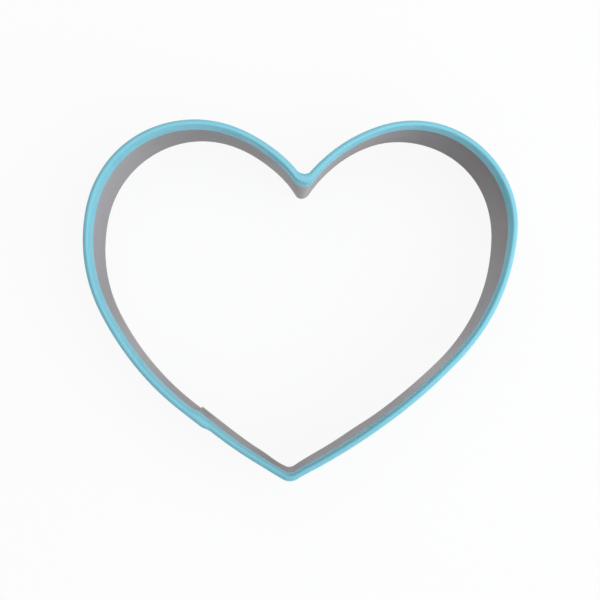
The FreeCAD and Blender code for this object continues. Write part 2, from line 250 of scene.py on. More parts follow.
class PlasticFinish(PropertyGroup):
    """Soft plastic of the trim"""
    colour: colour("Sky Blue", (0.25, 0.66, 0.79), "Clean plastic")
    # Painted highlight: this colour lightens the top of the crown
    crown_highlight_colour: colour("Pale Blue", (0.345, 0.70, 0.80), "Painted highlight along the crown")
    deep_colour: colour("Deep Blue", (0.23, 0.63, 0.76), "Slow swings of colour")
    dust_colour: colour("Dust", (0.62, 0.70, 0.72), "Specks of dust")
    # Strengths of the painted highlight along the crown, all along and in patches
    crown_highlight: share("Crown Highlight", 0.35, "Strength of the painted highlight all along the crown")
    patches: share("Highlight Patches", 0.4, "How much paler it is in patches")
    dust: share("Dust Strength", 0.35, "How much the dust covers")
    roughness: share("Roughness", 0.5, "Roughness of the plastic")
    gloss: share("Gloss", 0.12, "Strength of the plastic's shine")
    # Painted light and shade: these shares make the plastic's colour paler or darker in places round the
    # heart
    right_lobe: amount("Right Lobe Painted Light On Trim", 0.09, "Share by which the plastic is paler on the right lobe")
    left_lobe: amount("Left Lobe Painted Light On Trim", 0.07, "Share by which it is paler on the left lobe")
    tip: amount("Tip Painted Light On Trim", -0.12, "Share by which it is paler round the tip")


class StageSizes(PropertyGroup):
    """Floor, backdrop, lamps and camera"""
    floor_radius: length("Floor Radius", 4000.0, "Radius of the floor")
    floor_colour: colour("Floor", (0.97, 0.97, 0.97), "Pale floor")
    shadow_share: share("Shadow", 0.1, "How much of the floor's shadow shows")
    shadow_start: length("Shadow Start", 80.0, "Distance at which the shadow starts to fade")
    shadow_end: length("Shadow End", 400.0, "Distance at which the floor is plain")
    sky_level: amount("Sky", 0.385, "Light from all round")
    sky_colour: colour("Sky Colour", (1.0, 1.0, 1.0), "Light from all round, and the backdrop near the lamp")
    far_colour: colour("Far Colour", (0.30, 0.24, 0.16), "Backdrop on the side away from the lamp")
    far_way: FloatVectorProperty(
        name="Far Way", description="Direction of the far side", default=(-0.94, -0.34, 0.0), size=3,
        subtype="DIRECTION")
    top_power: power("Top Lamp", 0.27, "Power of the lamp overhead")
    top_place: place("Top Lamp Place", (0.0, 0.15, 0.32), "Where the lamp overhead hangs")
    top_width: length("Top Lamp Width", 250.0, "Width of the lamp overhead")
    top_colour: colour("Top Lamp Colour", (1.0, 0.99, 0.98), "Light of the lamp overhead")
    side_power: power("Side Lamp", 3.4, "Power of the lamp on the right")
    side_place: place("Side Lamp Place", (0.44, -0.19, 0.32), "Where the lamp on the right stands")
    side_width: length("Side Lamp Width", 850.0, "Width of the lamp on the right")
    side_colour: colour("Side Lamp Colour", (0.88, 0.945, 1.0), "Light of the lamp on the right")
    camera_place: place("Camera Place", (-0.002615, -0.009906, 0.273719), "Where the camera stands")
    camera_pitch: angle("Camera Pitch", 2.226, "Turn of the camera about X from straight down")
    camera_roll: angle("Camera Roll", -0.581, "Turn of the camera about Y from straight down")
    lens: FloatProperty(
        name="Lens", description="Focal length", default=65.19, unit="CAMERA", subtype="DISTANCE_CAMERA")


class CutterSettings(PropertyGroup):
    """Everything that the cutter and its stage are made from"""
    strip: PointerProperty(type=StripSizes)
    corners: PointerProperty(type=CornerSizes)
    left: PointerProperty(type=LeftBends)
    right: PointerProperty(type=RightBends)
    lean: PointerProperty(type=LeanSizes)
    trim: PointerProperty(type=TrimSizes)
    lips: PointerProperty(type=LipSizes)
    welds: PointerProperty(type=WeldSizes)
    steel: PointerProperty(type=SteelFinish)
    plastic: PointerProperty(type=PlasticFinish)
    stage: PointerProperty(type=StageSizes)


# Outline of the heart

def polar(distance, direction):
    return distance * np.array((math.cos(direction), math.sin(direction)))


def run_points(point, heading, distances, curve):
    """Points and headings at distances along a run, straight or bent by a curvature."""
    headings = heading + curve * distances
    if curve:
        across = (np.sin(headings) - math.sin(heading)) / curve
        upward = (math.cos(heading) - np.cos(headings)) / curve
    else:
        across = distances * math.cos(heading)
        upward = distances * math.sin(heading)
    return point + np.stack((across, upward), axis=-1), headings


def run_end(point, heading, distance, curve):
    points, headings = run_points(point, heading, np.array([distance]), curve)
    return points[0], headings[0]


class Heart:
    """The heart at an offset outward from the strip's middle line, as runs of a length and a curvature.

    The runs go counter-clockwise from the foot of the lap, on the inner ply, round to its top, on the outer
    ply. The notch and tip radii are given, because the trim fills those corners.
    """

    def __init__(self, settings, offset, notch_radius, tip_radius):
        self.settings = settings
        strip, corners = settings.strip, settings.corners
        self.lap_flat = strip.lap_length + 2 * strip.lap_margin
        self.ply_flat = strip.lap_length + strip.lap_margin
        self.lap_step = strip.thickness + strip.lap_gap
        centres = {"left": self.flank_centre("left"), "right": self.flank_centre("right")}
        notch = self.notch_centre(centres, offset + notch_radius)
        to_notch = {}
        for side, centre in centres.items():
            to_notch[side] = math.atan2(notch[1] - centre[1], notch[0] - centre[0])
        left = self.bends("left", offset, to_notch["left"])
        right = self.bends("right", offset, math.pi - to_notch["right"])
        self.top, self.heading = self.side_end("left", centres["left"], to_notch["left"], left)
        right_end, right_heading = self.side_end("right", centres["right"], to_notch["right"], right)
        self.down = polar(1, self.heading)
        self.inward = polar(1, self.heading + math.pi / 2)
        self.foot = self.top + self.lap_flat * self.down + self.lap_step * self.inward
        tail_radius = corners.tail_radius + offset
        tail = (tail_radius * corners.tail_angle, 1 / tail_radius)
        tail_end, tail_heading = run_end(self.foot, self.heading, *tail)
        tip_runs = self.tip_runs(tail_end, tail_heading, right_end, right_heading, tip_radius)
        notch_turn = to_notch["right"] - to_notch["left"]
        notch_run = (notch_radius * notch_turn, -1 / notch_radius)
        self.runs = [tail] + tip_runs + right[::-1] + [notch_run] + left

    def flank_centre(self, side):
        bends = getattr(self.settings, side)
        reach = self.settings.corners.notch_radius + bends.flank_radius
        across = -reach if side == "left" else reach
        return np.array((across * math.sin(bends.notch_angle), -reach * math.cos(bends.notch_angle)))

    def notch_centre(self, centres, beyond):
        """Centre of the arc that touches both flanks, which is a distance beyond each of them."""
        reach_left = self.settings.left.flank_radius + beyond
        reach_right = self.settings.right.flank_radius + beyond
        apart = centres["right"] - centres["left"]
        span = np.linalg.norm(apart)
        along = (span ** 2 + reach_left ** 2 - reach_right ** 2) / (2 * span)
        axis = apart / span
        rise = np.array((-axis[1], axis[0]))
        return centres["left"] + along * axis + math.sqrt(reach_left ** 2 - along ** 2) * rise

    def bends(self, side, offset, from_notch):
        """Runs of a side from the notch to its lower end."""
        bends = getattr(self.settings, side)
        flank_turn = math.pi / 2 - (bends.notch_angle - bends.flank_angle) - from_notch
        turns = [(bends.flank_radius, flank_turn), (bends.lobe_radius, bends.lobe_angle)]
        turns += [(bends.side_radius, bends.side_angle), (bends.lower_radius, bends.lower_angle)]
        return [((radius + offset) * turn, 1 / (radius + offset)) for radius, turn in turns]

    def side_end(self, side, centre, to_notch, runs):
        """Where a side's runs end, travelled from the notch."""
        turn = 1 if side == "left" else -1
        point = centre + polar(1 / runs[0][1], to_notch)
        heading = to_notch + turn * math.pi / 2
        for distance, curve in runs:
            point, heading = run_end(point, heading, distance, turn * curve)
        return point, heading

    def tip_runs(self, tail_end, tail_heading, right_end, right_heading, radius):
        """Straight runs to the tip from both sides and the bend that joins them."""
        ahead, back = polar(1, tail_heading), polar(1, right_heading)
        reach = np.linalg.solve(np.stack((ahead, -back), axis=1), right_end - tail_end)
        turn = (right_heading + math.pi - tail_heading) % math.tau
        cut = radius * math.tan(turn / 2)
        return [(reach[0] - cut, 0.0), (radius * turn, 1 / radius), (reach[1] - cut, 0.0)]


def middle_line(settings):
    """The heart along the middle of the strip."""
    return Heart(settings, 0.0, settings.corners.notch_radius, settings.corners.tip_radius)


def lap_middle(heart, origin):
    """The middle of the lap, between the plies."""
    return origin + heart.top + heart.lap_flat / 2 * heart.down + heart.lap_step / 2 * heart.inward


TURN_STEP = math.radians(3)


def section_counts(runs, spacing):
    """How many sections each run takes, so that long runs and tight bends are both smooth."""
    return [math.ceil(max(distance / spacing, distance * abs(curve) / TURN_STEP)) for distance, curve in runs]


def trace(point, heading, runs, counts):
    """Points and headings along runs, with a number of even steps on each."""
    points, headings = [], []
    for (distance, curve), count in zip(runs, counts):
        steps = np.linspace(0, distance, count, endpoint=False)
        places, turned = run_points(point, heading, steps, curve)
        points.append(places)
        headings.append(turned)
        point, heading = run_end(point, heading, distance, curve)
    return np.concatenate(points), np.concatenate(headings)


def two_bends(shares):
    """A rise from none to one in two equal bends, one after the other."""
    return np.where(shares < 0.5, 2 * shares ** 2, 1 - 2 * (1 - shares) ** 2)


class TrimRings:
    """The trim's two faces and the two faces of its slot as rings of matching points."""

    def __init__(self, settings):
        strip, corners, trim = settings.strip, settings.corners, settings.trim
        face = strip.thickness / 2 + trim.leg
        slot = strip.thickness / 2 + trim.slot_gap
        notch, tip, fill = corners.notch_radius, corners.tip_radius, trim.fill_radius
        middle = middle_line(settings)
        self.counts = section_counts(middle.runs, strip.spacing)
        self.lap_count = math.ceil(middle.lap_flat / strip.fine_spacing)
        step_run = self.step_run(middle, trim.step_radius)
        soft_run = self.step_run(middle, trim.soft_radius)
        past_outer = middle.ply_flat + trim.slot_gap
        past_inner = middle.lap_flat - past_outer - step_run
        soft_outer = past_outer + (step_run - soft_run) / 2 - trim.soft_shift
        soft_inner = past_inner + (step_run - soft_run) / 2 + trim.soft_shift
        outer_face = face + trim.swell
        self.outer = self.ring(settings, outer_face, fill, tip + outer_face, soft_outer, soft_run)
        self.slot_outer = self.ring(settings, slot, notch - slot, tip + slot, past_outer, step_run)
        self.slot_inner = self.ring(settings, -slot, notch + slot, tip - slot, past_inner, step_run)
        self.inner = self.ring(settings, -face, notch + face, fill, soft_inner, soft_run)
        low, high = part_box("rim_trim")
        middle_of_node = np.array(((low[0] + high[0]) / 2, (low[1] + high[1]) / 2))
        self.origin = middle_of_node - (self.outer.min(axis=0) + self.outer.max(axis=0)) / 2

    def step_run(self, heart, radius):
        """Length of a step over the lap that two bends of a radius make."""
        turn = math.acos(1 - heart.lap_step / (2 * radius))
        return 2 * radius * math.sin(turn)

    def ring(self, settings, offset, notch_radius, tip_radius, step_start, step_run):
        """The heart at an offset as a closed ring, which steps inward past a ply's end."""
        heart = Heart(settings, offset, notch_radius, tip_radius)
        points = trace(heart.foot, heart.heading, heart.runs, self.counts)[0]
        along = np.linspace(0, heart.lap_flat, self.lap_count, endpoint=False)
        step = heart.lap_step * two_bends(np.clip((along - step_start) / step_run, 0, 1))
        lap = heart.top + along[:, None] * heart.down + step[:, None] * heart.inward
        return np.concatenate((points, lap))


def smooth(shares):
    """A rise from none to one that starts and ends level."""
    return shares ** 2 * (3 - 2 * shares)


def lengths_along(points):
    """Distance travelled to each point of a line."""
    steps = np.linalg.norm(np.diff(points, axis=0), axis=1)
    return np.concatenate(([0.0], np.cumsum(steps)))


# Unevenness by hand and by use of the strip and the trim, and painted light and shade on the steel and the
# plastic. A place is a direction from the heart's middle and a spread, in degrees

LEAN_PLACES = {
    "all_round": (0, math.inf), "right_lobe": (21, 12), "right_flank": (67, 11), "notch": (91, 8),
    "notch_fold": (91, 3.4), "left_fold": (103, 6), "left_flank": (121, 13), "left_lobe": (157, 16),
    "lower_left": (212, 18), "tail": (254, 8), "tip": (263, 5), "tip_corner": (270, 5.2),
    "tip_right": (293, 8), "lower_right": (341, 13)}
LIP_PLACES = {
    "right_lobe": (12, 28), "right_top": (50, 12), "left_top": (110, 8), "left_lobe": (148, 26),
    "left_side": (210, 22), "tail": (257, 15)}
# Places of painted light and shade on the steel
PAINTED_LIGHT_PLACES = {
    "notch": (95, 16), "right_lobe": (43, 15), "left_side": (197, 14), "tip": (260, 8),
    "lower_right": (333, 12)}
# Places of painted light and shade on the plastic
PLASTIC_PAINTED_LIGHT_PLACES = {"right_lobe": (56, 27), "left_lobe": (121, 11), "tip": (284, 39)}


FULL_CIRCLE = 360


def nearness(points, direction, spread):
    """One at a place round the heart's middle, falling to none beside it."""
    directions = np.degrees(np.arctan2(points[..., 1], points[..., 0]))
    aside = (directions - direction + FULL_CIRCLE / 2) % FULL_CIRCLE - FULL_CIRCLE / 2
    return np.exp(-(aside / spread) ** 2)


def swing(amounts, places, points):
    """Sum of a group's amounts at points. Each is full at its place and falls to none beside it."""
    total = np.zeros(points.shape[:-1])
    for name, (direction, spread) in places.items():
        total += getattr(amounts, name) * nearness(points, direction, spread)
    return total


def lean_out(settings, points):
    """Moves points of a piece outward from the heart's middle, as far as the strip leans there."""
    up = np.clip(points[..., 2] / settings.strip.height, 0, 1)
    moved = np.zeros(up.shape)
    for name, (direction, spread) in LEAN_PLACES.items():
        foot, rim = getattr(settings.lean, name)
        moved += nearness(points, direction, spread) * (foot + (rim - foot) * up)
    outward = points[..., :2] / np.linalg.norm(points[..., :2], axis=-1, keepdims=True)
    points[..., :2] += moved[..., None] * outward


# Meshes

def swept_mesh(name, sections, closed):
    """A skin over closed sections, as an array of sections, points and coordinates.

    An open skin gets a cap at each end, for which the sections have an even number of points, mirrored
    about the middle of the piece. The UV map holds metres along the piece and metres round the section.
    """
    count, around = sections.shape[:2]
    middles = sections.mean(axis=1)
    travelled = lengths_along(np.concatenate((middles, middles[:1])))
    girth = lengths_along(np.concatenate((sections[0], sections[0][:1])))
    faces, layout = [], []
    for row in range(count if closed else count - 1):
        ahead = (row + 1) % count
        for column in range(around):
            beside = (column + 1) % around
            faces.append((row * around + column, ahead * around + column,
                          ahead * around + beside, row * around + beside))
            layout += [(travelled[row], girth[column]), (travelled[row + 1], girth[column]),
                       (travelled[row + 1], girth[column + 1]), (travelled[row], girth[column + 1])]
    if not closed:
        for row in (0, count - 1):
            for column in range(around // 2 - 1):
                facing = around - 1 - column
                corners = (column, column + 1, facing - 1, facing)
                faces.append(tuple(row * around + corner for corner in corners))
                layout += [(travelled[row], girth[corner]) for corner in corners]
    mesh = bpy.data.meshes.new(name)
    mesh.from_pydata(sections.reshape(-1, 3).tolist(), [], faces)
    layer = mesh.uv_layers.new(name="sweep")
    layer.data.foreach_set("uv", np.array(layout, dtype=np.float32).ravel())
    return mesh


def mark_points(mesh, name, values):
    """Keeps a value at each point of a mesh, for its material."""
    attribute = mesh.attributes.new(name, "FLOAT", "POINT")
    attribute.data.foreach_set("value", values.ravel())


def quarter(steps):
    """Angles of a rounded edge, ends included."""
    return np.linspace(0, math.pi / 2, steps + 1)


def mesh_of(work, name):
    """A mesh from worked faces, which are then let go."""
    mesh = bpy.data.meshes.new(name)
    work.to_mesh(mesh)
    work.free()
    return mesh


def add_object(name, data):
    item = bpy.data.objects.new(name, data)
    bpy.context.scene.collection.objects.link(item)
    return item


SHARP_ANGLE = math.radians(40)


def finish_piece(mesh, material, part):
    """Turns the faces outward, smooths them and sets the piece in place of its CAD part."""
    work = bmesh.new()
    work.from_mesh(mesh)
    bmesh.ops.recalc_face_normals(work, faces=work.faces)
    work.to_mesh(mesh)
    work.free()
    mesh.shade_smooth()
    mesh.set_sharp_from_angle(angle=SHARP_ANGLE)
    mesh.materials.append(material)
    piece = add_object(mesh.name, mesh)
    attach(piece, "root")
    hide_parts(part)


# Shader nodes

def feed(tree, taker, inputs):
    """Links or sets inputs of a node, by their names or numbers."""
    for name, value in inputs.items():
        if isinstance(value, NodeSocket):
            tree.links.new(value, taker.inputs[name])
        else:
            taker.inputs[name].default_value = value


def node(tree, kind, inputs=None, **settings):
    """Adds a node, sets it and links or sets its inputs."""
    made = tree.nodes.new(kind)
    for name, value in settings.items():
        setattr(made, name, value)
    feed(tree, made, inputs or {})
    return made


def sums(tree, operation, *values):
    return node(tree, "ShaderNodeMath", dict(enumerate(values)), operation=operation).outputs[0]


def remap(tree, value, low, high, to_low=0.0, to_high=1.0):
    inputs = {"Value": value, "From Min": low, "From Max": high, "To Min": to_low, "To Max": to_high}
    return node(tree, "ShaderNodeMapRange", inputs, interpolation_type="SMOOTHSTEP").outputs[0]


def paint(rgb):
    """A colour as a node takes it. A socket stays as it is."""
    return rgb if isinstance(rgb, NodeSocket) else (*rgb, 1.0)


# Sockets of a mix node that take and give colours
FIRST_COLOUR, SECOND_COLOUR, MIXED_COLOUR = 6, 7, 2


def blend(tree, mask, first, second):
    """A colour between two, by a mask."""
    inputs = {0: mask, FIRST_COLOUR: paint(first), SECOND_COLOUR: paint(second)}
    return node(tree, "ShaderNodeMix", inputs, data_type="RGBA").outputs[MIXED_COLOUR]


def tint(tree, tone, towards, mask, strength):
    """A colour turned towards another, by a mask and a strength."""
    return blend(tree, sums(tree, "MULTIPLY", mask, strength), tone, towards)


def point_mark(tree, name):
    return node(tree, "ShaderNodeAttribute", attribute_name=name).outputs["Fac"]


def scaled(tree, tone, name):
    """A colour made brighter or darker by a value kept at the mesh's points."""
    inputs = {0: tone, "Scale": point_mark(tree, name)}
    return node(tree, "ShaderNodeVectorMath", inputs, operation="SCALE").outputs[0]


def bump(tree, height, relief):
    return node(tree, "ShaderNodeBump", {"Height": height, **relief}).outputs[0]


def object_spot(tree):
    return node(tree, "ShaderNodeTexCoord").outputs["Object"]


def height_above_floor(tree):
    return node(tree, "ShaderNodeSeparateXYZ", {0: object_spot(tree)}).outputs[2]


def sweep_map(tree):
    return node(tree, "ShaderNodeUVMap", uv_map="sweep").outputs[0]


# Shared effects

FLOAT, VECTOR = "NodeSocketFloat", "NodeSocketVector"


def new_group(name, inputs, outputs):
    """An empty shader node group with its sockets, and its input and output nodes."""
    tree = bpy.data.node_groups.new(name, "ShaderNodeTree")
    for label, kind in inputs.items():
        tree.interface.new_socket(name=label, in_out="INPUT", socket_type=kind)
    for label in outputs:
        tree.interface.new_socket(name=label, in_out="OUTPUT", socket_type=FLOAT)
    return tree, node(tree, "NodeGroupInput").outputs, node(tree, "NodeGroupOutput").inputs


def group_node(tree, maker, **inputs):
    """Places a shared group in a material, and builds it the first time."""
    group = bpy.data.node_groups.get(maker.__name__) or maker(maker.__name__)
    return node(tree, "ShaderNodeGroup", inputs, node_tree=group).outputs


# Fine lines, and wider bands of them, as shares of the lines' fineness
LINE_SCALES = {"Lines": 1.0, "Bands": 0.12}
LINE_NOISE = {"Scale": 1.0, "Detail": 3.0, "Roughness": 0.6}


def drawn_lines(name):
    """Fine lines along a piece, left by rolls or by a die."""
    inputs = {"Along": VECTOR, "Fineness": FLOAT, "Stretch": FLOAT}
    tree, taken, given = new_group(name, inputs, LINE_SCALES)
    along = node(tree, "ShaderNodeSeparateXYZ", {0: taken["Along"]}).outputs
    fine = sums(tree, "DIVIDE", taken["Fineness"], taken["Stretch"])
    for label, scale in LINE_SCALES.items():
        run = sums(tree, "MULTIPLY", sums(tree, "MULTIPLY", along[0], fine), scale)
        rise = sums(tree, "MULTIPLY", sums(tree, "MULTIPLY", along[1], taken["Fineness"]), scale)
        spot = node(tree, "ShaderNodeCombineXYZ", {0: run, 1: rise}).outputs[0]
        noise = node(tree, "ShaderNodeTexNoise", {"Vector": spot, **LINE_NOISE}, noise_dimensions="2D")
        tree.links.new(noise.outputs[0], given[label])
    return tree


# The edges are levels of the noise between which a mark comes in
SMUDGE_NOISE = {"Detail": 4.0, "Distortion": 0.6}
SMUDGE_EDGE = (0.48, 0.72)
SWING_NOISE = {"Detail": 1.0}
SWING_SCALE = 0.35
SWING_EDGE = (0.3, 0.7)


def handling(name):
    """Soft smudges from hands and cloths, and slower swings of tone."""
    tree, taken, given = new_group(name, {"Scale": FLOAT}, ("Smudges", "Swing"))
    spot = object_spot(tree)
    slower = sums(tree, "MULTIPLY", taken["Scale"], SWING_SCALE)
    wide = node(tree, "ShaderNodeTexNoise", {"Vector": spot, "Scale": taken["Scale"], **SMUDGE_NOISE})
    slow = node(tree, "ShaderNodeTexNoise", {"Vector": spot, "Scale": slower, **SWING_NOISE})
    tree.links.new(remap(tree, wide.outputs[0], *SMUDGE_EDGE), given["Smudges"])
    tree.links.new(remap(tree, slow.outputs[0], *SWING_EDGE), given["Swing"])
    return tree


# Where a speck starts and where it is full, as shares of its size from its middle
SPECK_EDGE = (1.0, 0.6)


def specks(name):
    """Small round specks, in some of the cells of a scattered pattern."""
    tree, taken, given = new_group(name, {"Scale": FLOAT, "Size": FLOAT, "Sparse": FLOAT}, ("Specks",))
    cells = node(tree, "ShaderNodeTexVoronoi", {"Vector": object_spot(tree), "Scale": taken["Scale"]}).outputs
    chosen = node(tree, "ShaderNodeSeparateColor", {0: cells["Color"]}).outputs[0]
    kept = sums(tree, "GREATER_THAN", chosen, taken["Sparse"])
    near = sums(tree, "DIVIDE", cells["Distance"], taken["Size"])
    tree.links.new(sums(tree, "MULTIPLY", remap(tree, near, *SPECK_EDGE), kept), given["Specks"])
    return tree


# Materials. Scales are per metre, and a roughness is set back a little where marks add to it

def new_material(name):
    """A material with its shader alone, ready for its inputs."""
    material = bpy.data.materials.new(name)
    material.use_nodes = True
    tree = material.node_tree
    return material, tree, tree.nodes["Principled BSDF"]


STEEL_LINES = {"Fineness": 4200.0, "Stretch": 90.0}
STEEL_SMUDGES = {"Scale": 70.0}
STEEL_PITS = {"Scale": 800.0, "Size": 0.16, "Sparse": 0.93}
STEEL_RELIEF = {"Strength": 0.25, "Distance": 0.02 * MM}
STEEL_SET_BACK = 0.05
STEEL_SMUDGE_ROUGHNESS = 0.10
STEEL_LINE_ROUGHNESS = 0.14
# Height below which the cutting edge is rubbed most
FULLY_RUBBED = 0.1 * MM
# A quarter turn of the reflections, from along the lines to across them
ACROSS_THE_LINES = 0.25
# Where a heat tint starts and where it is full, in radii of the weld
STRAW_REACH = (2.3, 1.5)
BLUE_REACH = (1.6, 1.1)


def strip_steel(settings):
    """Rolled steel: lines along the strip, a rubbed cutting edge, heat tints round the welds, and painted
    light and shade in places round the heart.
    """
    finish = settings.steel
    material, tree, shader = new_material("strip_steel")
    lines = group_node(tree, drawn_lines, Along=sweep_map(tree), **STEEL_LINES)
    smudges = group_node(tree, handling, **STEEL_SMUDGES)["Smudges"]
    pits = group_node(tree, specks, **STEEL_PITS)["Specks"]
    tone = blend(tree, lines["Bands"], finish.dull_colour, finish.colour)
    tone = tint(tree, tone, finish.dull_colour, smudges, finish.smudges)
    # Painted light and shade: the steel is made brighter or darker in places round the heart
    tone = scaled(tree, tone, "painted_light")
    rubbed = remap(tree, height_above_floor(tree), finish.rubbed_height, FULLY_RUBBED)
    tone = tint(tree, tone, finish.bright_colour, rubbed, lines["Bands"])
    reach = sums(tree, "DIVIDE", point_mark(tree, "weld_reach"), settings.welds.diameter / 2)
    tone = tint(tree, tone, finish.straw_colour, remap(tree, reach, *STRAW_REACH), finish.straw)
    tone = tint(tree, tone, finish.blue_colour, remap(tree, reach, *BLUE_REACH), finish.blue)
    tone = tint(tree, tone, finish.blue_colour, pits, finish.pits)
    rough = sums(tree, "MULTIPLY_ADD", smudges, STEEL_SMUDGE_ROUGHNESS, finish.roughness - STEEL_SET_BACK)
    rough = sums(tree, "MULTIPLY_ADD", lines["Lines"], STEEL_LINE_ROUGHNESS, rough)
    relief = sums(tree, "SUBTRACT", lines["Lines"], pits)
    along = node(tree, "ShaderNodeTangent", direction_type="UV_MAP", uv_map="sweep").outputs[0]
    feed(tree, shader, {
        "Base Color": tone, "Metallic": 1.0, "Roughness": rough,
        "Specular Tint": paint([finish.edge_tint] * 3), "Anisotropic": finish.brushing,
        "Anisotropic Rotation": ACROSS_THE_LINES, "Tangent": along,
        "Normal": bump(tree, relief, STEEL_RELIEF)})
    return material


PLASTIC_LINES = {"Fineness": 5200.0, "Stretch": 60.0}
PLASTIC_SMUDGES = {"Scale": 110.0}
PLASTIC_DUST = {"Scale": 620.0, "Size": 0.14, "Sparse": 0.94}
PLASTIC_GRAIN = {"Scale": 5200.0, "Detail": 2.0}
PLASTIC_LINE_HEIGHT = 0.6
PLASTIC_RELIEF = {"Strength": 0.22, "Distance": 0.03 * MM}
PLASTIC_SET_BACK = 0.04
PLASTIC_SMUDGE_ROUGHNESS = 0.14
# How far down the crown the painted highlight reaches, as a share of its inner rounding's height
CROWN_SHARE = 0.12


def sky_blue_plastic(settings):
    """Soft moulded plastic: faint drawn lines, a painted highlight along the crown that is stronger in
    patches, painted light and shade in places round the heart, slow swings of colour and dust.
    """
    finish, trim = settings.plastic, settings.trim
    material, tree, shader = new_material("sky_blue_plastic")
    lines = group_node(tree, drawn_lines, Along=sweep_map(tree), **PLASTIC_LINES)["Lines"]
    marks = group_node(tree, handling, **PLASTIC_SMUDGES)
    dust = group_node(tree, specks, **PLASTIC_DUST)["Specks"]
    top = settings.strip.height + trim.crown
    # Painted highlight along the top of the crown, stronger in patches
    crown = remap(tree, height_above_floor(tree), top - CROWN_SHARE * trim.inner_height, top)
    highlight_strength = sums(tree, "MULTIPLY_ADD", marks["Smudges"], finish.patches, finish.crown_highlight)
    tone = blend(tree, marks["Swing"], finish.deep_colour, finish.colour)
    tone = tint(tree, tone, finish.crown_highlight_colour, crown, highlight_strength)
    # Painted light and shade: the plastic is made paler or darker in places round the heart
    tone = scaled(tree, tone, "plastic_painted_light")
    tone = tint(tree, tone, finish.dust_colour, dust, finish.dust)
    even = finish.roughness - PLASTIC_SET_BACK
    rough = sums(tree, "MULTIPLY_ADD", marks["Smudges"], PLASTIC_SMUDGE_ROUGHNESS, even)
    grain = node(tree, "ShaderNodeTexNoise", {"Vector": object_spot(tree), **PLASTIC_GRAIN}).outputs[0]
    relief = sums(tree, "MULTIPLY_ADD", lines, PLASTIC_LINE_HEIGHT, grain)
    feed(tree, shader, {
        "Base Color": tone, "Roughness": rough, "Specular IOR Level": finish.gloss,
        "Normal": bump(tree, relief, PLASTIC_RELIEF)})
    return material


WELD_SMUDGES = {"Scale": 900.0}
WELD_PITS = {"Scale": 3200.0, "Size": 0.3, "Sparse": 0.6}
WELD_RELIEF = {"Strength": 0.4, "Distance": 0.03 * MM}
WELD_SMUDGE_ROUGHNESS = 0.15


def weld_steel(settings):
    """Steel melted and pressed at a weld: dull, a little blue, with a speckled face."""
    finish = settings.steel
    material, tree, shader = new_material("weld_steel")
    marks = group_node(tree, handling, **WELD_SMUDGES)
    pits = group_node(tree, specks, **WELD_PITS)["Specks"]
    tone = blend(tree, marks["Smudges"], finish.dull_colour, finish.blue_colour)
    tone = tint(tree, tone, finish.straw_colour, pits, finish.weld_pits)
    rough = sums(tree, "MULTIPLY_ADD", marks["Smudges"], WELD_SMUDGE_ROUGHNESS, finish.roughness)
    relief = sums(tree, "SUBTRACT", marks["Swing"], pits)
    feed(tree, shader, {
        "Base Color": tone, "Metallic": 1.0, "Roughness": rough,
        "Specular Tint": paint([finish.edge_tint] * 3), "Normal": bump(tree, relief, WELD_RELIEF)})
    return material


WHITE = (1.0, 1.0, 1.0)
FLOOR_ROUGHNESS = 0.9
# How squarely a direction faces the far side where the backdrop starts to darken, and where it is darkest
FAR_EDGE = (0.5, 0.95)


def seen_directly(tree):
    """One for rays from the camera and for reflections and refractions, else zero."""
    path = node(tree, "ShaderNodeLightPath").outputs
    seen = sums(tree, "MAXIMUM", path["Is Camera Ray"], path["Is Glossy Ray"])
    return sums(tree, "MAXIMUM", seen, path["Is Transmission Ray"])


def pale_floor(stage):
    """A pale floor that turns to plain white away from the cutter, and keeps a soft shadow beside it."""
    material, tree, shader = new_material("pale_floor")
    away = node(tree, "ShaderNodeVectorMath", {0: object_spot(tree)}, operation="LENGTH").outputs["Value"]
    plain = remap(tree, away, stage.shadow_start, stage.shadow_end, 1 - stage.shadow_share, 1.0)
    lit = node(tree, "ShaderNodeEmission", {"Color": paint(WHITE), "Strength": 1.0})
    feed(tree, shader, {"Base Color": paint(stage.floor_colour), "Roughness": FLOOR_ROUGHNESS})
    mask = sums(tree, "MULTIPLY", plain, seen_directly(tree))
    mixed = node(tree, "ShaderNodeMixShader", {0: mask, 1: shader.outputs[0], 2: lit.outputs[0]})
    tree.links.new(mixed.outputs[0], tree.nodes["Material Output"].inputs["Surface"])
    return material


# Operators

# Steps of the rounded forms
EDGE_STEPS = 3
LIP_STEPS = 4
BEAD_STEPS = 14
WELD_STEPS = 40
FLOOR_STEPS = 96
# How many roundings the rows on the strip's faces keep from its edges
CLEAR_OF_EDGE = 3
# Rows on the trim, as shares of its slot's height and of its face's height
SLOT_ROWS = (0.66, 0.33)
FACE_ROWS = (0.05, 0.25, 0.5, 0.75, 0.95)
# Second wave of the lips, as a share of the first, and where it starts in radians
SECOND_WAVE = 0.6
SECOND_WAVE_START = 1.0
# Points of the lap are this near its middle plane, in thicknesses of the strip
LAP_REACH = 2
# Marks of a weld in radii: the rim of the dent and how far it slopes, the ridge and its width
DENT_REACH, DENT_SLOPE = 1.15, 0.3
RIDGE_REACH, RIDGE_WIDTH = 1.35, 0.15
# A weld's face from its middle to its edge, as shares of its radius and of its bowl
WELD_FACE = ((0.3, 0.6), (0.6, 0.75), (0.85, 0.92), (1.0, 1.0))


